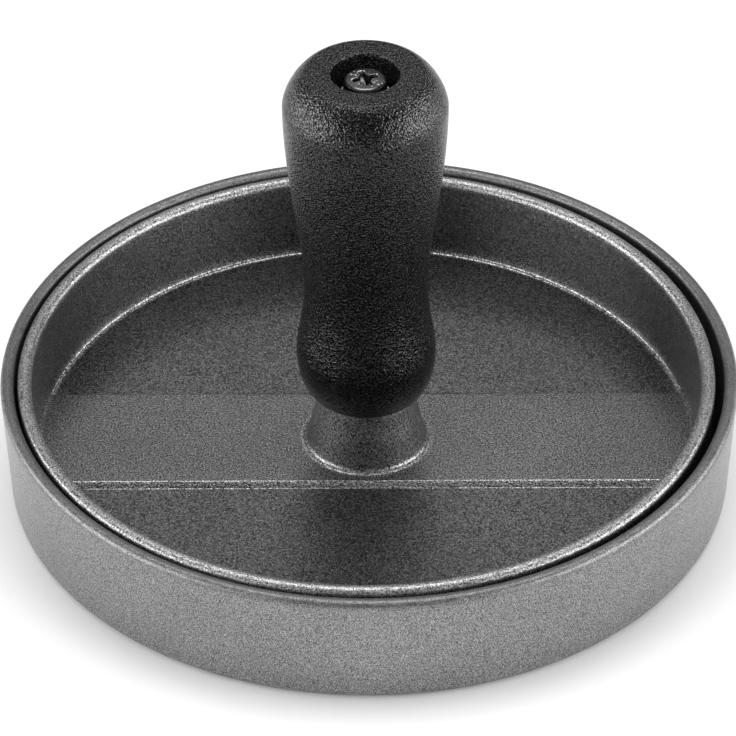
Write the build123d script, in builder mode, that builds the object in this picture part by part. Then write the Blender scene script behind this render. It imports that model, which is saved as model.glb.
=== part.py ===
from build123d import *
import os
from math import cos, pi, sin

# A hand press that forms burger patties: a shallow round pan, a dished press plate that drops into
# it, and an upright grip held to the plate by one long screw. The pan stands on the XY plane with its
# axis on Z; the plate, the grip and their screw share an axis of their own. Lengths are in millimetres.

os.makedirs("parts", exist_ok=True)

# ---------------------------------------------------------------- driving dimensions

# Pan
pan_radius = 60.15  # outer radius at the rim, before its edge is rounded
pan_height = 20.0
pan_base_radius = 59.05  # outer radius at the table, less than at the rim by the casting draft
pan_rim_width = 2.2
pan_bead = 1.0  # radius of the rim's two edges
pan_floor_radius = 57.2  # inner radius at the floor
pan_floor = 2.0  # height of the inside floor
pan_corner = 1.2  # radius between floor and wall
pan_foot_edge = 1.5  # radius of the outer edge at the table
foot_width = 7.0  # the ring that the pan stands on
foot_recess = 0.4

# Ridges that mark the patty, on the pan's floor and under the plate
ridge_height = 0.4
ridge_width = 2.6
ridge_pitch = 8.0
ridge_field_radius = 50.0

# Press plate
press_offset = -0.45  # the plate lies loose in the pan, a little to one side
plate_radius = 57.0  # outer radius at the rim
plate_base_radius = 56.2
plate_rim_width = 2.4
plate_bead = 1.15  # radius of the rim's two edges
plate_rim_top = 20.0
plate_floor_radius = 54.2  # radius of the dish at its floor
plate_bottom = pan_floor + ridge_height  # the ridges of the two castings meet here
plate_floor = 5.1
plate_corner = 2.4
dish_corner = 1.0

# Stiffening bar across the dish, and the boss that stands on it
bar_width = 23.2  # across its flat top
bar_height = 0.8
bar_slope = 1.1  # how far each long side spreads on its way down to the floor
bar_edge = 0.5
boss_base_radius = 9.6
boss_top_radius = 7.6
boss_foot_corner = 0.8
seat_height = 16.3  # where the grip rests on the boss
spigot_side = 8.6  # the square above the seat that stops the grip from turning
spigot_height = 7.0
spigot_corner = 1.2

# Grip
grip_top = 77.9
grip_shoulder_height = 71.9  # where the grip is widest
grip_shoulder_radius = 13.13
grip_shoulder_power = 1.48  # 2 would make the shoulder's section elliptical
grip_face_radius = 9.2  # flat top face
grip_bulge_height = 24.5
grip_bulge_radius = 11.35
grip_foot_radius = 7.9  # flat bottom face
grip_waist = [(10.6, 30.0), (10.0, 36.5), (10.4, 44.0), (11.4, 52.0), (12.4, 60.0)]  # radius, height
grip_bore_radius = 2.3
socket_clearance = 0.15

# Screw, an M4 x 65 cheese head with a cross recess, and its two washers
screw_radius = 2.0
screw_root_radius = 1.62
screw_pitch = 0.7
screw_length = 65.0
screw_thread_length = 38.0
screw_tip_chamfer = 0.5
head_radius = 3.5
head_height = 2.6
head_edge = 0.5
head_below_face = 0.85  # how far the head's top lies below the grip's top face
counterbore_radius = 5.4
recess_span = 4.3
recess_wing = 0.85
recess_depth = 1.1
recess_core_radius = 1.25
recess_core_depth = 2.0
recess_turn = 20.0  # degrees
tick_width = 0.2
tick_depth = 0.15
spring_washer_radius = 3.8
spring_washer_bore = 2.05
spring_washer_thickness = 0.9
spring_washer_slit = 0.5
spring_washer_slant = 20.0
flat_washer_radius = 4.5
flat_washer_bore = 2.15
flat_washer_thickness = 0.8
washer_edge = 0.12
thread_clearance = 0.05
tap_spare_turns = 3  # turns of the tapped hole below the screw's tip
drill_point = 1.2

# Derived heights
bar_top = plate_floor + bar_height
spigot_top = seat_height + spigot_height
head_top = grip_top - head_below_face
head_seat = head_top - head_height
counterbore_floor = head_seat - spring_washer_thickness - flat_washer_thickness
screw_tip = head_seat - screw_length

# The press plate's own axis, and the upright plane through it for turned sections
press_axis = Axis((press_offset, 0, 0), (0, 0, 1))
press_upright = Plane(origin=(press_offset, 0, 0), x_dir=(1, 0, 0), z_dir=(0, -1, 0))
thread_start = screw_tip + screw_tip_chamfer
thread_top = screw_tip + screw_thread_length
tap_bottom = thread_start - tap_spare_turns * screw_pitch


def nearest_corner(sketch, x, y):
    """The vertex of a sketch that lies nearest a point, for rounding that corner."""
    return sketch.vertices().sort_by_distance((x, y))[0]


def press_level(height):
    """A horizontal plane at a height, centred on the press plate's axis."""
    return Plane(origin=(press_offset, 0, height))


def shoulder_point(turn):
    """A point of the shoulder's section: 0 degrees at its widest, 90 at the top face."""
    across = cos(turn * pi / 180) ** (2 / grip_shoulder_power)
    rise = sin(turn * pi / 180) ** (2 / grip_shoulder_power)
    return (
        grip_face_radius + (grip_shoulder_radius - grip_face_radius) * across,
        grip_shoulder_height + (grip_top - grip_shoulder_height) * rise,
    )


def thread_outline(root, crest, low, high):
    """Points of a thread's zigzag section, from its low end to its high end."""
    turns = int((high - low) / screw_pitch)
    points = []
    for turn in range(turns):
        start = low + turn * screw_pitch
        points.append((root, start))
        points.append((crest, start + 0.4 * screw_pitch))
        points.append((crest, start + 0.6 * screw_pitch))
    points.append((root, low + turns * screw_pitch))
    return points


# ---------------------------------------------------------------- base pan

pan_rim_inner = pan_radius - pan_rim_width
foot_inner = pan_base_radius - foot_width

with BuildPart() as base_pan:
    with BuildSketch(Plane.XZ) as pan_section:
        with BuildLine():
            Polyline(
                (0, foot_recess),
                (foot_inner, foot_recess),
                (foot_inner + foot_recess, 0),
                (pan_base_radius, 0),
                (pan_radius, pan_height),
                (pan_rim_inner, pan_height),
                (pan_floor_radius, pan_floor),
                (0, pan_floor),
                close=True,
            )
        make_face()
        fillet(nearest_corner(pan_section, pan_base_radius, 0), pan_foot_edge)
        fillet(nearest_corner(pan_section, pan_radius, pan_height), pan_bead)
        fillet(nearest_corner(pan_section, pan_rim_inner, pan_height), pan_bead)
        fillet(nearest_corner(pan_section, pan_floor_radius, pan_floor), pan_corner)
    revolve(axis=Axis.Z)

    ridge_count = 2 * int(ridge_field_radius / ridge_pitch) + 1
    with BuildSketch(Plane.XY.offset(pan_floor)):
        with GridLocations(0, ridge_pitch, 1, ridge_count):
            Rectangle(2 * ridge_field_radius, ridge_width)
        Circle(ridge_field_radius, mode=Mode.INTERSECT)
    extrude(amount=ridge_height)
base_pan.part.label = "base_pan"
export_step(base_pan.part, "parts/base_pan.step")

# ---------------------------------------------------------------- press plate

# The bar's own solid, before it joins the plate. It runs from wall to wall, its ends inside the wall.
bar_foot = plate_floor - 0.5
with BuildPart() as stiffening_bar:
    with BuildSketch(Plane(origin=(press_offset, 0, 0), x_dir=(0, 1, 0), z_dir=(1, 0, 0))):
        with BuildLine():
            Polyline(
                (-bar_width / 2 - bar_slope, bar_foot),
                (-bar_width / 2 - bar_slope, plate_floor),
                (-bar_width / 2, bar_top),
                (bar_width / 2, bar_top),
                (bar_width / 2 + bar_slope, plate_floor),
                (bar_width / 2 + bar_slope, bar_foot),
                close=True,
            )
        make_face()
    extrude(amount=plate_radius, both=True)
    fillet(stiffening_bar.edges().filter_by(Axis.X).group_by(Axis.Z)[-1], bar_edge)
    with BuildSketch(press_level(bar_foot)):
        Circle(plate_floor_radius + 0.6)
    extrude(amount=bar_top, mode=Mode.INTERSECT)

plate_rim_inner = plate_radius - plate_rim_width

with BuildPart() as press_plate:
    with BuildSketch(press_upright) as plate_section:
        with BuildLine():
            Polyline(
                (0, plate_bottom),
                (plate_base_radius, plate_bottom),
                (plate_radius, plate_rim_top),
                (plate_rim_inner, plate_rim_top),
                (plate_floor_radius, plate_floor),
                (0, plate_floor),
                close=True,
            )
        make_face()
        fillet(nearest_corner(plate_section, plate_base_radius, plate_bottom), plate_corner)
        fillet(nearest_corner(plate_section, plate_radius, plate_rim_top), plate_bead)
        fillet(nearest_corner(plate_section, plate_rim_inner, plate_rim_top), plate_bead)
        fillet(nearest_corner(plate_section, plate_floor_radius, plate_floor), dish_corner)
    revolve(axis=press_axis)

    # Hollows between the marking ribs under the plate
    hollow_count = 2 * int(ridge_field_radius / ridge_pitch)
    with BuildSketch(press_level(plate_bottom)):
        with GridLocations(0, ridge_pitch, 1, hollow_count):
            Rectangle(2 * ridge_field_radius, ridge_pitch - ridge_width)
        Circle(ridge_field_radius, mode=Mode.INTERSECT)
    extrude(amount=ridge_height, mode=Mode.SUBTRACT)

    add(stiffening_bar.part)

    # The flared boss, with the square spigot on top
    with BuildSketch(press_upright):
        with BuildLine():
            boss_side = ThreePointArc(
                (boss_base_radius, bar_top),
                (
                    (boss_base_radius + boss_top_radius) / 2 - 0.15,
                    (bar_top + seat_height) / 2,
                ),
                (boss_top_radius, seat_height),
            )
            Polyline(
                boss_side @ 1,
                (0, seat_height),
                (0, plate_floor),
                (boss_base_radius, plate_floor),
                boss_side @ 0,
            )
        make_face()
    revolve(axis=press_axis)
    boss_foot = (
        press_plate.edges()
        .filter_by(GeomType.CIRCLE)
        .filter_by(lambda e: abs(e.center().Z - bar_top) < 0.01 and e.radius < 2 * boss_base_radius)
    )
    fillet(boss_foot, boss_foot_corner)

    with BuildSketch(press_level(seat_height)):
        RectangleRounded(spigot_side, spigot_side, spigot_corner)
    extrude(amount=spigot_height)
    chamfer(press_plate.faces().sort_by(Axis.Z)[-1].edges(), 0.4)

    # Tapped hole for the screw, open at the spigot's top
    with BuildSketch(press_upright):
        with BuildLine():
            Polyline(
                (0, tap_bottom - drill_point),
                *thread_outline(
                    screw_root_radius + thread_clearance,
                    screw_radius + thread_clearance,
                    tap_bottom,
                    spigot_top + screw_pitch,
                ),
                (0, spigot_top + screw_pitch),
                close=True,
            )
        make_face()
    revolve(axis=press_axis, mode=Mode.SUBTRACT)
press_plate.part.label = "press_plate"
export_step(press_plate.part, "parts/press_plate.step")

# ---------------------------------------------------------------- grip

bulge_drop = grip_bulge_height - seat_height

with BuildPart() as grip:
    with BuildSketch(press_upright):
        with BuildLine():
            foot_curve = EllipticalCenterArc(
                (grip_foot_radius, grip_bulge_height),
                grip_bulge_radius - grip_foot_radius,
                bulge_drop,
                start_angle=-90,
                arc_size=90,
            )
            waist_curve = Spline(
                foot_curve @ 1,
                *grip_waist,
                (grip_shoulder_radius, grip_shoulder_height),
                tangents=[(0, 1), (0, 1)],
            )
            shoulder_curve = Spline(
                waist_curve @ 1,
                *[shoulder_point(turn) for turn in (15, 30, 45, 60, 75)],
                (grip_face_radius, grip_top),
                tangents=[(0, 1), (-1, 0)],
            )
            Polyline(
                shoulder_curve @ 1,
                (0, grip_top),
                (0, seat_height),
                foot_curve @ 0,
            )
        make_face()
    revolve(axis=press_axis)

    with Locations(press_level(grip_top)):
        CounterBoreHole(
            radius=grip_bore_radius,
            counter_bore_radius=counterbore_radius,
            counter_bore_depth=grip_top - counterbore_floor,
        )
    counterbore_mouth = (
        grip.edges()
        .filter_by(GeomType.CIRCLE)
        .group_by(Axis.Z)[-1]
        .sort_by(SortBy.RADIUS)[0]
    )
    fillet(counterbore_mouth, 0.35)

    # Square socket that drops over the spigot
    with BuildSketch(press_level(seat_height)):
        RectangleRounded(
            spigot_side + 2 * socket_clearance,
            spigot_side + 2 * socket_clearance,
            spigot_corner + socket_clearance,
        )
    extrude(amount=spigot_height + 0.6, mode=Mode.SUBTRACT)
grip.part.label = "grip"
export_step(grip.part, "parts/grip.step")

# ---------------------------------------------------------------- screw

with BuildPart() as grip_screw:
    with BuildSketch(press_upright) as screw_section:
        with BuildLine():
            Polyline(
                (0, screw_tip),
                (screw_root_radius - screw_tip_chamfer, screw_tip),
                *thread_outline(screw_root_radius, screw_radius, thread_start, thread_top),
                (screw_radius, thread_top),
                (screw_radius, head_seat),
                (head_radius, head_seat),
                (head_radius, head_top),
                (0, head_top),
                close=True,
            )
        make_face()
        fillet(nearest_corner(screw_section, head_radius, head_top), head_edge)
    revolve(axis=press_axis)

    # Cross recess with a tapered core, and four shallow ticks between its wings
    wing_angles = (recess_turn, recess_turn + 90)
    with BuildSketch(press_level(head_top)):
        for angle in wing_angles:
            SlotOverall(recess_span, recess_wing, rotation=angle)
    extrude(amount=-recess_depth, mode=Mode.SUBTRACT)
    with BuildSketch(press_upright):
        with BuildLine():
            Polyline(
                (0, head_top - recess_core_depth),
                (recess_core_radius / 3, head_top - recess_core_depth),
                (recess_core_radius, head_top + 0.1),
                (0, head_top + 0.1),
                close=True,
            )
        make_face()
    revolve(axis=press_axis, mode=Mode.SUBTRACT)
    tick_middle = (recess_span / 2 + head_radius - head_edge) / 2
    tick_angles = [recess_turn + 45 + 90 * side for side in range(4)]
    with BuildSketch(press_level(head_top)):
        for angle in tick_angles:
            turn = angle * pi / 180
            with Locations((tick_middle * cos(turn), tick_middle * sin(turn))):
                Rectangle(head_radius - head_edge - recess_span / 2, tick_width, rotation=angle)
    extrude(amount=-tick_depth, mode=Mode.SUBTRACT)
grip_screw.part.label = "grip_screw"
export_step(grip_screw.part, "parts/grip_screw.step")

# ---------------------------------------------------------------- washers

with BuildPart() as spring_washer:
    with BuildSketch(press_level(head_seat - spring_washer_thickness)):
        Circle(spring_washer_radius)
        Circle(spring_washer_bore, mode=Mode.SUBTRACT)
    extrude(amount=spring_washer_thickness)
    # The slit leans, as it does on a split ring
    slit_plane = Plane(
        origin=(press_offset + spring_washer_radius, 0, head_seat - spring_washer_thickness / 2),
        z_dir=(0, sin(spring_washer_slant * pi / 180), cos(spring_washer_slant * pi / 180)),
        x_dir=(1, 0, 0),
    )
    with BuildSketch(slit_plane):
        Rectangle(2 * spring_washer_radius - spring_washer_bore, spring_washer_slit)
    extrude(amount=2 * spring_washer_thickness, both=True, mode=Mode.SUBTRACT)
spring_washer.part.label = "spring_washer"
export_step(spring_washer.part, "parts/spring_washer.step")

with BuildPart() as flat_washer:
    with BuildSketch(press_level(counterbore_floor)):
        Circle(flat_washer_radius)
        Circle(flat_washer_bore, mode=Mode.SUBTRACT)
    extrude(amount=flat_washer_thickness)
    outer_edges = flat_washer.edges().filter_by(
        lambda e: e.geom_type == GeomType.CIRCLE and abs(e.radius - flat_washer_radius) < 0.01
    )
    chamfer(outer_edges, washer_edge)
flat_washer.part.label = "flat_washer"
export_step(flat_washer.part, "parts/flat_washer.step")
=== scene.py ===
import math

import bpy
import numpy as np
from mathutils import Matrix, Vector


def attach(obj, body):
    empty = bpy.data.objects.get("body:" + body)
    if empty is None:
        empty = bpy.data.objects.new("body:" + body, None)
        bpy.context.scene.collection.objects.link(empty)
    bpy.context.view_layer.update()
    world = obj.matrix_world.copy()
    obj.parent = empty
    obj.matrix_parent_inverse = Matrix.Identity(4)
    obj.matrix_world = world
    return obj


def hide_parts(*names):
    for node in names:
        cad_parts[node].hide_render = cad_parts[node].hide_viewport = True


# The patty press in its finished look: smooth turned castings and grip, coated metal, grained plastic
# and a zinc-plated screw. Lengths in the shape tables are millimetres, everything in Blender metres.

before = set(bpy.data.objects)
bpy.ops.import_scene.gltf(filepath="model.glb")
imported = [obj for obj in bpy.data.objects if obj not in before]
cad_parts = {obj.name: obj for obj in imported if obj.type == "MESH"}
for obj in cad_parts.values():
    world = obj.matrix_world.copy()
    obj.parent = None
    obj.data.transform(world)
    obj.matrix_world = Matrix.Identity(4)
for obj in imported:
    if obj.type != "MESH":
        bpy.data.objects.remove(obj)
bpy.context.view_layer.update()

MM = 0.001
TURNS = 384  # segments round a large turned piece
SHARP_ABOVE = 40  # degrees between two faces of a turned piece, above which their edge looks sharp
PRESS_X = -0.45  # the plate lies loose in the pan, a little to one side


# ---------------------------------------------------------------- profiles

def rounded(corners, step=10):
    """Turns (x, y, radius) corners into a list of points with each corner rounded by its radius."""
    points = []
    for i, (x, y, r) in enumerate(corners):
        here = np.array((x, y), float)
        if r == 0 or i in (0, len(corners) - 1):
            points.append(here)
            continue
        before = np.array(corners[i - 1][:2], float) - here
        after = np.array(corners[i + 1][:2], float) - here
        before /= np.linalg.norm(before)
        after /= np.linalg.norm(after)
        half = math.acos(float(np.clip(before @ after, -1, 1))) / 2
        inward = before + after
        inward /= np.linalg.norm(inward)
        centre = here + inward * r / math.sin(half)
        start = here + before * r / math.tan(half) - centre
        end = here + after * r / math.tan(half) - centre
        sweep = math.pi - 2 * half
        turn = math.copysign(1, start[0] * end[1] - start[1] * end[0])
        for k in range(step + 1):
            a = turn * sweep * k / step
            c, s = math.cos(a), math.sin(a)
            points.append(centre + (c * start[0] - s * start[1], s * start[0] + c * start[1]))
    return points


def filled(points, longest):
    """Adds points along a line so that no span is longer than asked."""
    out = [np.array(points[0], float)]
    for p in points[1:]:
        p = np.array(p, float)
        parts = max(1, math.ceil(np.linalg.norm(p - out[-1]) / longest))
        start = out[-1]
        for k in range(1, parts + 1):
            out.append(start + (p - start) * k / parts)
    return out


def arc(cx, cz, rx, rz, start, end, power=2.0, count=28):
    """Points on a quarter of an ellipse, or of a superellipse if power isn't 2. Angles in degrees."""
    out = []
    for k in range(count + 1):
        a = math.radians(start + (end - start) * k / count)
        c, s = math.cos(a), math.sin(a)
        out.append((
            cx + rx * math.copysign(abs(c) ** (2 / power), c),
            cz + rz * math.copysign(abs(s) ** (2 / power), s),
        ))
    return out


def smooth_side(knots, spans=16):
    """A cubic spline of radius over height through the knots, upright at both ends."""
    r, z = np.array(knots).T
    h = np.diff(z)
    size = len(r)
    matrix, right = np.zeros((size, size)), np.zeros(size)
    matrix[0, 0] = matrix[-1, -1] = 1
    for i in range(1, size - 1):
        matrix[i, i - 1:i + 2] = h[i], 2 * (h[i - 1] + h[i]), h[i - 1]
        right[i] = 3 * (h[i] * (r[i] - r[i - 1]) / h[i - 1] + h[i - 1] * (r[i + 1] - r[i]) / h[i])
    slope = np.linalg.solve(matrix, right)
    out = []
    for i in range(size - 1):
        for k in range(spans):
            t = k / spans
            out.append((
                (2 * t**3 - 3 * t**2 + 1) * r[i] + (t**3 - 2 * t**2 + t) * h[i] * slope[i]
                + (3 * t**2 - 2 * t**3) * r[i + 1] + (t**3 - t**2) * h[i] * slope[i + 1],
                z[i] + h[i] * t,
            ))
    return out


# ---------------------------------------------------------------- meshes

def new_object(name, vertices, faces, sharp=None):
    mesh = bpy.data.meshes.new(name)
    mesh.from_pydata([tuple(v) for v in vertices], [], faces)
    mesh.validate()
    mesh.update()
    mesh.shade_smooth()
    if sharp:
        mesh.set_sharp_from_angle(angle=math.radians(sharp))
    obj = bpy.data.objects.new(name, mesh)
    bpy.context.collection.objects.link(obj)
    return obj


def lathe(name, profile, turns=TURNS):
    """Spins (radius, height) points about Z. A point at radius 0 closes the shape there."""
    vertices, rings = [], []
    for r, z in profile:
        if abs(r) < 1e-6:
            rings.append([len(vertices)] * turns)
            vertices.append((0, 0, z * MM))
            continue
        rings.append(list(range(len(vertices), len(vertices) + turns)))
        for k in range(turns):
            a = 2 * math.pi * k / turns
            vertices.append((r * math.cos(a) * MM, r * math.sin(a) * MM, z * MM))
    faces = []
    for low, high in zip(rings, rings[1:]):
        for k in range(turns):
            n = (k + 1) % turns
            face = tuple(dict.fromkeys((low[k], low[n], high[n], high[k])))
            if len(face) > 2:
                faces.append(face)
    return new_object(name, vertices, faces, sharp=SHARP_ABOVE)


def slab(name, section, radius, base):
    """A bar along X with a (y, z) section, its ends on a circle, closed below at height base."""
    vertices, faces = [], []
    for y, z in section:
        x = math.sqrt(max(radius * radius - y * y, 0.01))
        for px, pz in ((-x, base), (-x, z), (x, z), (x, base)):
            vertices.append((px * MM, y * MM, pz * MM))
    for i in range(len(section) - 1):
        a, b = 4 * i, 4 * (i + 1)
        for j in range(4):
            n = (j + 1) % 4
            faces.append((a + j, b + j, b + n, a + n))
    last = 4 * (len(section) - 1)
    faces.append((0, 1, 2, 3))
    faces.append((last + 3, last + 2, last + 1, last))
    return new_object(name, vertices, faces, sharp=35)


def ridge_section(y, width, foot, top, r):
    """The (y, z) section of a low ridge with rounded shoulders."""
    left, right = y - width / 2, y + width / 2
    return rounded([(left, foot, 0), (left, top, r), (right, top, r), (right, foot, 0)], step=4)


def join(name, objects):
    """Makes one object of several."""
    bpy.ops.object.select_all(action="DESELECT")
    for o in objects:
        o.select_set(True)
    bpy.context.view_layer.objects.active = objects[0]
    bpy.ops.object.join()
    objects[0].name = name
    objects[0].data.name = name
    return objects[0]


def on_press(obj):
    """Puts a piece made about the origin on the press plate's own axis."""
    obj.location.x = PRESS_X * MM
    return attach(obj, "press")


# ---------------------------------------------------------------- base pan

RIM_TOP = 20.0  # both castings end at this height
PAN_FLOOR, MARK_TOP = 2.0, 2.4  # the pan's floor, and the top of the ridges that mark the patty
RIDGE_PITCH, RIDGE_WIDTH, RIDGE_EDGE = 8.0, 2.6, 0.25
FIELD = 50.0  # radius of the round field of ridges


def pan_casting():
    foot_ring = [(0, 0.4, 0), (51.6, 0.4, 0.2), (52.0, 0, 0.2)]
    wall = [(59.05, 0, 1.5), (60.15, RIM_TOP, 1.0), (57.95, RIM_TOP, 1.0), (57.2, PAN_FLOOR, 1.2)]
    shell = lathe("pan_casting", filled(rounded(foot_ring + wall + [(0, PAN_FLOOR, 0)]), 3))
    ridges = []
    for k in range(-6, 7):
        section = ridge_section(k * RIDGE_PITCH, RIDGE_WIDTH, PAN_FLOOR - 0.1, MARK_TOP, RIDGE_EDGE)
        ridges.append(slab("pan_ridge", section, FIELD, PAN_FLOOR - 0.2))
    return join("pan_casting", [shell] + ridges)


pan = pan_casting()
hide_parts("base_pan")
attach(pan, "pan")

# ---------------------------------------------------------------- press plate

PLATE_FLOOR, BAR_TOP, DISH_R = 5.1, 5.9, 54.2
HOLLOW = 2.8  # underside of the plate between its marking ribs
SEAT = 16.3  # where the grip rests on the boss
BAR_HALF, BAR_SLOPE, BAR_EDGE = 11.6, 1.1, 0.5
SUNK = 0.01  # how far the bar and the boss start below the face that they stand on


def bar_section():
    """Half of the bar's (y, z) section is given and then mirrored."""
    half = [
        (BAR_HALF, BAR_TOP, BAR_EDGE),
        (BAR_HALF + BAR_SLOPE, PLATE_FLOOR - SUNK, BAR_EDGE),
        (BAR_HALF + 2.0, PLATE_FLOOR - SUNK, 0),
    ]
    mirrored = [(-y, z, r) for y, z, r in reversed(half)]
    return filled(rounded(mirrored + half, step=8), 3)


def plate_underside():
    """Marking ribs across the underside, and a strip that closes the field at its front and back."""
    ribs = []
    for k in range(-5, 6):
        section = ridge_section(k * RIDGE_PITCH, RIDGE_WIDTH, HOLLOW + 0.1, MARK_TOP, RIDGE_EDGE)
        ribs.append(slab("plate_rib", section[::-1], FIELD, HOLLOW + 0.2))
    for side in (-1, 1):
        near, far = side * 46.7, side * 49.9
        strip = [(near, HOLLOW + 0.1), (near, MARK_TOP), (far, MARK_TOP), (far, HOLLOW + 0.1)]
        ribs.append(slab("plate_rib", strip[::-side], FIELD, HOLLOW + 0.2))
    return ribs


def plate_casting():
    shell = lathe("plate_casting", filled(rounded([
        (0, HOLLOW, 0), (FIELD, HOLLOW, 0.1), (FIELD, MARK_TOP, 0.15), (56.2, MARK_TOP, 2.4),
        (57.0, RIM_TOP, 1.15), (54.6, RIM_TOP, 1.15), (DISH_R, PLATE_FLOOR, 0.7), (0, PLATE_FLOOR, 0),
    ]), 3))
    bar = slab("plate_bar", bar_section(), DISH_R + 0.25, PLATE_FLOOR - 0.5)
    boss = lathe("plate_boss", filled(rounded([
        (11.6, BAR_TOP - SUNK, 0), (9.85, BAR_TOP - SUNK, 1.2), (9.1, 9.6, 20), (8.15, 13.4, 20),
        (7.6, SEAT, 0.3), (0, SEAT, 0),
    ]), 1.0), turns=192)
    spigot = slab("plate_spigot", ridge_section(0, 8.6, SEAT - 0.3, 23.3, 0.4), 5.9, SEAT - 0.3)
    return join("plate_casting", [shell, bar, boss, spigot] + plate_underside())


plate = plate_casting()
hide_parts("press_plate")
on_press(plate)

# ---------------------------------------------------------------- grip

TOP, FACE_R = 77.9, 9.2  # height and radius of the flat top face
SHOULDER, SHOULDER_R = 71.9, 13.13  # where the grip is widest
BULGE, BULGE_R, FOOT_R = 24.5, 11.35, 7.9
WAIST = [(10.6, 30.0), (10.0, 36.5), (10.4, 44.0), (11.4, 52.0), (12.4, 60.0)]  # radius, height
BORE_R, BORE_FLOOR = 5.4, 72.75  # counterbore
HOLE_R, HOLE_END = 2.3, 66.0  # the screw's hole, closed where the screw hides it


def grip_body():
    foot = arc(FOOT_R, BULGE, BULGE_R - FOOT_R, BULGE - SEAT, -90, 0)[:-1]
    side = smooth_side([(BULGE_R, BULGE)] + WAIST + [(SHOULDER_R, SHOULDER)])
    shoulder = arc(FACE_R, SHOULDER, SHOULDER_R - FACE_R, TOP - SHOULDER, 0, 90, power=1.48)
    mouth = rounded([
        (FACE_R - 0.8, TOP, 0), (BORE_R, TOP, 0.4), (BORE_R, BORE_FLOOR, 0.3), (HOLE_R, BORE_FLOOR, 0),
        (HOLE_R, HOLE_END, 0), (0, HOLE_END, 0),
    ])
    return lathe("grip_body", filled([(0, SEAT)] + foot + side + shoulder + mouth, 1.2), turns=288)


grip = grip_body()
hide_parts("grip")
on_press(grip)

# ---------------------------------------------------------------- screw

HEAD_TOP, HEAD_SEAT, HEAD_R = 77.05, 74.45, 3.5
HEAD_EDGE = 0.75  # radius of the head's rounded rim
RECESS_TURN = math.radians(20)
WING_REACH, WING_HALF = 2.2, 0.56  # half the length and half the width of the cross recess
WING_DEPTH, CORE_DEPTH, CORE_R = 0.7, 1.9, 1.15
TICK_START, TICK_END, TICK_DEPTH, TICK_HALF = 1.5, 2.7, 0.15, 0.14
THREAD_R, ROOT_R, PITCH = 2.0, 1.62, 0.7
THREAD_TOP, THREAD_FOOT, TIP_R, TIP = 47.45, 10.15, 1.12, 9.45


def ease(distance, run):
    """0 outside a recess, rising to 1 over its sloped wall."""
    return min(1.0, max(0.0, distance / run))


def turned(x, y, angle):
    c, s = math.cos(angle), math.sin(angle)
    return c * x + s * y, -s * x + c * y


def head_height(x, y):
    """Height of the screw head's top at a point: domed edge, cross recess, four ticks."""
    r = math.hypot(x, y)
    edge = max(0.0, r - (HEAD_R - HEAD_EDGE)) / HEAD_EDGE
    z = HEAD_TOP - 0.02 * r * r - HEAD_EDGE * (1 - math.sqrt(max(0.0, 1 - min(edge, 1.0) ** 2)))
    depth = CORE_DEPTH * ease(CORE_R - r, 0.4)
    u, v = turned(x, y, RECESS_TURN)
    for along, across in ((u, v), (v, u)):
        wing = WING_DEPTH + 1.1 * max(0.0, 1 - (abs(along) / WING_REACH) ** 2)
        wing *= ease(WING_HALF - abs(across), 0.22) * ease(WING_REACH - abs(along), 0.3)
        depth = max(depth, wing)
    u, v = turned(x, y, RECESS_TURN + math.pi / 4)
    for along, across in ((u, v), (v, u)):
        if TICK_START < abs(along) < TICK_END:
            depth = max(depth, TICK_DEPTH * ease(TICK_HALF - abs(across), 0.06))
    return z - depth


def shank_profile():
    """(radius, height) points from the head's edge down the shank and its thread to the tip."""
    profile = [
        (HEAD_R, HEAD_SEAT + 0.1), (HEAD_R - 0.1, HEAD_SEAT), (THREAD_R, HEAD_SEAT), (THREAD_R, THREAD_TOP),
    ]
    z = THREAD_TOP
    while z > THREAD_FOOT:
        profile += [
            (ROOT_R, z), (THREAD_R, z - 0.4 * PITCH), (THREAD_R, z - 0.6 * PITCH), (ROOT_R, z - PITCH),
        ]
        z -= PITCH
    return profile + [(TIP_R, TIP)]


def screw_mesh(around=240, rings=64):
    """One closed mesh: rings of points over the head's top, then down the shank."""
    angles = [2 * math.pi * k / around for k in range(around)]
    vertices = [(0, 0, head_height(0, 0) * MM)]
    for i in range(1, rings + 1):
        r = HEAD_R * i / rings
        for a in angles:
            x, y = r * math.cos(a), r * math.sin(a)
            vertices.append((x * MM, y * MM, head_height(x, y) * MM))
    shank = shank_profile()
    for r, h in shank:
        vertices += [(r * math.cos(a) * MM, r * math.sin(a) * MM, h * MM) for a in angles]
    faces = []
    for k in range(around):
        n = (k + 1) % around
        faces.append((0, 1 + k, 1 + n))
        for i in range(rings + len(shank) - 1):
            a, b = 1 + i * around, 1 + (i + 1) * around
            faces.append((a + k, b + k, b + n, a + n))
    last = 1 + (rings + len(shank) - 1) * around
    faces.append(tuple(last + k for k in range(around)))
    return new_object("screw", vertices, faces, sharp=30)


screw = screw_mesh()
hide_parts("grip_screw")
on_press(screw)

# ---------------------------------------------------------------- materials

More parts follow.
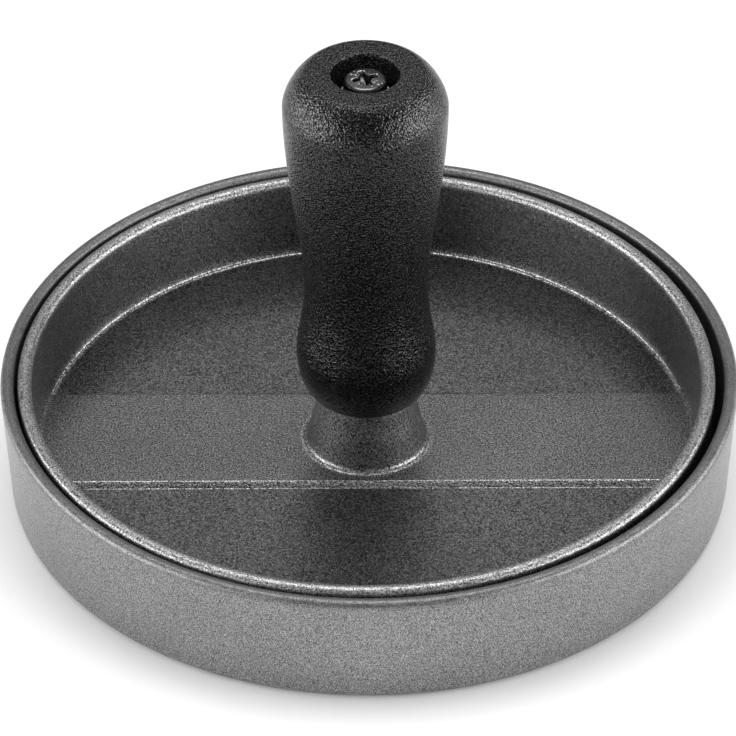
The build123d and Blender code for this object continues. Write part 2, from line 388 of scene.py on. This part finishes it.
class Nodes:
    """A short way to write a node tree for one material."""

    def __init__(self, name):
        self.material = bpy.data.materials.new(name)
        self.material.use_nodes = True
        self.tree = self.material.node_tree
        self.shader = self.tree.nodes["Principled BSDF"]
        self.place = self.tree.nodes.new("ShaderNodeTexCoord").outputs["Object"]

    def link(self, a, b):
        self.tree.links.new(a, b)

    def noise(self, scale, detail=2.0, rough=0.5, distort=0.0):
        n = self.tree.nodes.new("ShaderNodeTexNoise")
        n.inputs["Scale"].default_value = scale
        n.inputs["Detail"].default_value = detail
        n.inputs["Roughness"].default_value = rough
        n.inputs["Distortion"].default_value = distort
        self.link(self.place, n.inputs["Vector"])
        return n.outputs["Fac"]

    def cells(self, scale, feature="F1", smooth=0.5):
        n = self.tree.nodes.new("ShaderNodeTexVoronoi")
        n.feature = feature
        n.inputs["Scale"].default_value = scale
        if feature == "SMOOTH_F1":
            n.inputs["Smoothness"].default_value = smooth
        self.link(self.place, n.inputs["Vector"])
        return n.outputs["Distance"]

    def height(self, low, high):
        """Height above the floor, 0 to 1 between two heights in millimetres."""
        n = self.tree.nodes.new("ShaderNodeSeparateXYZ")
        self.link(self.place, n.inputs[0])
        return self.remap(n.outputs["Z"], low * MM, high * MM, 0.0, 1.0)

    def radius(self, low, high):
        """Distance from the piece's upright axis, 0 to 1 between two radii in millimetres."""
        flat = self.tree.nodes.new("ShaderNodeVectorMath")
        flat.operation = "MULTIPLY"
        flat.inputs[1].default_value = (1, 1, 0)
        self.link(self.place, flat.inputs[0])
        length = self.tree.nodes.new("ShaderNodeVectorMath")
        length.operation = "LENGTH"
        self.link(flat.outputs[0], length.inputs[0])
        return self.remap(length.outputs["Value"], low * MM, high * MM, 0.0, 1.0)

    def by_height(self, *stops):
        """Values at heights in millimetres, blended between them."""
        reach = 40.0
        return self.ramp(self.height(0.0, reach), [(height / reach, value) for height, value in stops])

    def by_radius(self, *stops):
        """Values at radii in millimetres, blended between them."""
        reach = 60.0
        return self.ramp(self.radius(0.0, reach), [(radius / reach, value) for radius, value in stops])

    def ramp(self, source, stops):
        n = self.tree.nodes.new("ShaderNodeValToRGB")
        e = n.color_ramp.elements
        while len(e) > len(stops):
            e.remove(e[-1])
        while len(e) < len(stops):
            e.new(1.0)
        for element, (position, value) in zip(e, stops):
            element.position = position
            element.color = (*value, 1) if isinstance(value, tuple) else (value, value, value, 1)
        self.link(source, n.inputs["Fac"])
        return n.outputs["Color"]

    def remap(self, source, low, high, to_low, to_high):
        n = self.tree.nodes.new("ShaderNodeMapRange")
        n.inputs["From Min"].default_value = low
        n.inputs["From Max"].default_value = high
        n.inputs["To Min"].default_value = to_low
        n.inputs["To Max"].default_value = to_high
        self.link(source, n.inputs["Value"])
        return n.outputs["Result"]

    def mix(self, kind, factor, a, b):
        n = self.tree.nodes.new("ShaderNodeMix")
        n.data_type = "RGBA"
        n.blend_type = kind
        if isinstance(factor, float):
            n.inputs[0].default_value = factor
        else:
            self.link(factor, n.inputs[0])
        for socket, value in ((n.inputs[6], a), (n.inputs[7], b)):
            if isinstance(value, tuple):
                socket.default_value = (*value, 1)
            else:
                self.link(value, socket)
        return n.outputs[2]

    def math(self, operation, a, b):
        n = self.tree.nodes.new("ShaderNodeMath")
        n.operation = operation
        for socket, value in zip(n.inputs, (a, b)):
            if isinstance(value, float):
                socket.default_value = value
            else:
                self.link(value, socket)
        return n.outputs[0]

    def edges(self, low, high):
        """0 on flat ground to 1 on convex edges."""
        n = self.tree.nodes.new("ShaderNodeNewGeometry")
        return self.remap(n.outputs["Pointiness"], low, high, 0.0, 1.0)

    def bump(self, height, distance, strength=1.0, base=None):
        n = self.tree.nodes.new("ShaderNodeBump")
        n.inputs["Strength"].default_value = strength
        n.inputs["Distance"].default_value = distance
        self.link(height, n.inputs["Height"])
        if base is not None:
            self.link(base, n.inputs["Normal"])
        return n.outputs["Normal"]

    def finish(self, colour, roughness, normal, **fixed):
        self.link(colour, self.shader.inputs["Base Color"])
        self.link(roughness, self.shader.inputs["Roughness"])
        self.link(normal, self.shader.inputs["Normal"])
        for name, value in fixed.items():
            self.shader.inputs[name.replace("_", " ")].default_value = value
        return self.material


def grey(value, blue=0.0):
    return value, value, value + blue


RIM_START, RIM_FULL = 18.4, 19.4  # the heights between which a wall turns into the rim: the coat gets rougher there and its painted light and shade change
BOSS_SIDE, BOSS_FOOT = 9.6, 9.96  # the radii between which the boss's side turns into its foot


def pan_rim_painted_shade(n):
    """Painted shade: darkens the coat on the pan's rim."""
    return n.by_height((RIM_START, 0.97), (RIM_FULL, 0.68))


def boss_side(n):
    """1 on the side of the plate's boss, 0 elsewhere."""
    return n.math(
        "MULTIPLY", n.by_radius((BOSS_SIDE, 1.0), (BOSS_FOOT, 0.0)), n.by_height((5.6, 0.0), (6.0, 1.0)),
    )


def plate_painted_light(n):
    """Painted light and shade on the plate's coat: the dish painted darker than the bar and the rim, its
    corners painted lighter.
    """
    # painted shade on the dish floor and walls, painted highlight on the bar and the rim
    dish = n.by_height(
        (5.38, 0.46), (5.7, 0.66), (6.2, 0.66), (7.0, 0.50), (RIM_START, 0.50), (RIM_FULL, 1.0),
    )
    # painted shade, darker towards the dish's wall
    outward = n.by_radius((27.0, 1.0), (52.2, 0.78), (54.3, 0.78), (54.72, 1.0))
    shade = n.mix("MULTIPLY", 1.0, dish, outward)
    # painted highlight on the boss's foot, painted shade on its side
    on_boss = n.math("MULTIPLY", n.by_radius((10.8, 1.0), (11.1, 0.0)), n.by_height((5.6, 0.0), (5.84, 1.0)))
    shade = n.mix("MIX", on_boss, shade, n.by_radius((BOSS_SIDE, 0.52), (BOSS_FOOT, 1.0)))
    # painted highlight along the dish's corner fillet
    corner = n.math(
        "MULTIPLY",
        n.by_radius((53.34, 0.0), (53.52, 1.0), (54.06, 1.0), (54.3, 0.0)),
        n.by_height((4.8, 0.0), (4.96, 1.0), (5.92, 1.0), (6.12, 0.0)),
    )
    return n.mix("MIX", corner, shade, grey(0.78))


def coated_metal(name, dark, light, gloss, fineness, shade, rougher=None):
    """Dark non-stick coat on a casting: flakes and pinholes a few tenths of a millimetre across."""
    n = Nodes(name)
    grain = n.noise(fineness, 2, 0.6)
    flakes = n.noise(1.25 * fineness, 1, 0.5)
    pits = n.cells(0.65 * fineness)
    cloud = n.noise(55, 4, 0.55)
    middle = tuple((a + b) / 2 for a, b in zip(dark, light))
    base = n.ramp(grain, [(0.36, dark), (0.50, middle), (0.64, light)])
    spots = n.ramp(flakes, [(0.60, 0.0), (0.70, 1.0)])
    base = n.mix("MIX", spots, base, tuple(1.7 * c for c in light))
    holes = n.ramp(pits, [(0.10, 1.0), (0.26, 0.0)])
    base = n.mix("MIX", holes, base, tuple(0.35 * c for c in dark))
    base = n.mix("MULTIPLY", 1.0, base, n.ramp(cloud, [(0.3, 0.92), (0.7, 1.06)]))
    # painted light and shade by height and radius, from the shade function passed in
    base = n.mix("MULTIPLY", 1.0, base, shade(n))
    worn = n.math("MULTIPLY", n.edges(0.502, 0.53), n.remap(n.noise(700, 3), 0.40, 0.62, 0.0, 1.0))
    base = n.mix("MIX", n.math("MULTIPLY", worn, 0.35), base, grey(0.34, 0.005))
    rough = n.remap(grain, 0.3, 0.7, gloss - 0.05, gloss + 0.07)
    rough = n.math("ADD", rough, n.remap(cloud, 0.3, 0.7, -0.03, 0.03))
    rough = n.math("ADD", rough, n.math("MULTIPLY", n.height(RIM_START, RIM_FULL), 0.16))
    if rougher:
        rough = n.math("ADD", rough, n.math("MULTIPLY", rougher(n), 0.20))
    skin = n.bump(cloud, 0.04 * MM)
    skin = n.bump(grain, 0.07 * MM, 0.75, skin)
    return n.finish(base, rough, skin, Metallic=0.85, IOR=1.5)


def grained_plastic(name):
    """Black moulded plastic with leather grain, its pale specks painted highlights and its creases painted
    darker. Its top face has paler painted specks and is more deeply grained.
    """
    n = Nodes(name)
    pebbles = n.cells(2900, "SMOOTH_F1", 0.3)
    creases = n.noise(2100, 2, 0.6, 0.2)
    fine = n.noise(4200, 2, 0.6)
    cloud = n.noise(60, 3, 0.5)
    on_top = n.height(TOP - 0.9, TOP - 0.1)
    colour = n.ramp(cloud, [(0.3, grey(0.0008, 0.0001)), (0.7, grey(0.0014, 0.0001))])
    # painted highlights: pale specks where light catches the grain, paler on the top face
    painted_grain_glints = n.mix("MIX", on_top, grey(0.006), grey(0.04))
    colour = n.mix("MIX", n.ramp(fine, [(0.50, 0.0), (0.58, 1.0)]), colour, painted_grain_glints)
    # painted shade in the creases
    colour = n.mix("MIX", n.ramp(creases, [(0.35, 0.35), (0.55, 0.0)]), colour, grey(0.001))
    worn = n.math("MULTIPLY", n.edges(0.505, 0.56), 0.35)
    colour = n.mix("MIX", worn, colour, grey(0.05))
    rough = n.math("ADD", n.remap(creases, 0.3, 0.7, 0.22, 0.14), n.remap(fine, 0.3, 0.7, -0.02, 0.03))
    skin = n.bump(creases, 0.09 * MM, 0.9)
    skin = n.bump(pebbles, 0.1 * MM, 1.0, skin)
    skin = n.bump(n.math("MULTIPLY", fine, n.remap(on_top, 0.0, 1.0, 1.0, 3.0)), 0.03 * MM, 0.8, skin)
    n.link(n.remap(fine, 0.42, 0.58, 0.05, 1.0), n.shader.inputs["Specular IOR Level"])
    return n.finish(colour, rough, skin, Metallic=0.0, IOR=1.44)


def plated_steel(name, dark, light, gloss):
    """Zinc plating with fine scratches, brightest on its edges: wear there, pushed up into painted glints.
    """
    n = Nodes(name)
    cloud = n.noise(500, 4, 0.6)
    scratches = n.noise(3000, 2, 0.7, 1.5)
    colour = n.ramp(cloud, [(0.3, dark), (0.7, light)])
    # lighter on convex edges: wear, strengthened into painted glints
    colour = n.mix("MIX", n.math("MULTIPLY", n.edges(0.51, 0.58), 0.9), colour, grey(0.9))
    rough = n.remap(scratches, 0.3, 0.7, gloss - 0.06, gloss + 0.10)
    skin = n.bump(scratches, 0.02 * MM, 0.6)
    return n.finish(colour, rough, skin, Metallic=1.0)


def dress(obj, material):
    obj.data.materials.clear()
    obj.data.materials.append(material)


dress(pan, coated_metal("pan_coat", grey(0.065, 0.001), grey(0.365, 0.002), 0.27, 5000, pan_rim_painted_shade))
dress(plate, coated_metal(
    "plate_coat", grey(0.04, 0.0005), grey(0.52, 0.002), 0.24, 3400, plate_painted_light, boss_side,
))
dress(grip, grained_plastic("grip_plastic"))
dress(screw, plated_steel("screw_zinc", grey(0.07), grey(0.15), 0.20))
washer_zinc = plated_steel("washer_zinc", grey(0.35), grey(0.5), 0.35)
for node in ("spring_washer", "flat_washer"):
    dress(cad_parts[node], washer_zinc)

# ---------------------------------------------------------------- floor, lights, camera

FLOOR_REACH = 4  # metres from the middle to each side


def pale_floor():
    r = FLOOR_REACH
    obj = new_object("floor", [(-r, -r, 0), (r, -r, 0), (r, r, 0), (-r, r, 0)], [(0, 1, 2, 3)])
    n = Nodes("pale_floor")
    tone = n.ramp(n.noise(6, 3), [(0.3, grey(0.87)), (0.7, grey(0.89))])
    rough = n.remap(n.noise(40, 2), 0.3, 0.7, 0.55, 0.65)
    dress(obj, n.finish(tone, rough, n.bump(n.noise(300, 2), 0.02 * MM, 0.3)))
    return obj


floor = pale_floor()

world = bpy.data.worlds.new("studio")
bpy.context.scene.world = world
world.use_nodes = True
world.node_tree.nodes["Background"].inputs["Color"].default_value = (1, 1, 1, 1)
world.node_tree.nodes["Background"].inputs["Strength"].default_value = 0.20


def softbox(name, place, size, power):
    """A rectangular light at a place in metres, turned to the middle of the press."""
    light = bpy.data.lights.new(name, "AREA")
    light.shape = "RECTANGLE"
    light.size, light.size_y = size
    light.energy = power
    obj = bpy.data.objects.new(name, light)
    bpy.context.collection.objects.link(obj)
    obj.location = place
    obj.rotation_euler = (Vector((0, 0, 0.03)) - Vector(place)).to_track_quat("-Z", "Y").to_euler()


softbox("above", (0, 0.12, 1.0), (0.8, 0.5), 6.5)
softbox("left", (-1.0, -0.18, 0.30), (1.4, 0.5), 14.5)
softbox("right", (1.0, -0.18, 0.30), (1.4, 0.5), 14.5)
softbox("behind", (0, 0.85, 0.92), (1.5, 0.5), 1.7)

ELEVATION, ROLL = math.radians(37.168), math.radians(-0.2)
DISTANCE = 0.8158
AIM = Vector((-0.00017, 0, 0.02009))
back = Vector((0, -math.cos(ELEVATION), math.sin(ELEVATION)))
camera_data = bpy.data.cameras.new("camera")
camera_data.sensor_width = 36
camera_data.lens = 244.6
camera_data.clip_start, camera_data.clip_end = 0.01, 20
camera = bpy.data.objects.new("camera", camera_data)
bpy.context.collection.objects.link(camera)
camera.location = AIM + back * DISTANCE
look = (-back).to_track_quat("-Z", "Y").to_matrix().to_4x4()
camera.rotation_euler = (look @ Matrix.Rotation(ROLL, 4, "Z")).to_euler()
bpy.context.scene.camera = camera
bpy.context.scene.view_settings.view_transform = "Standard"
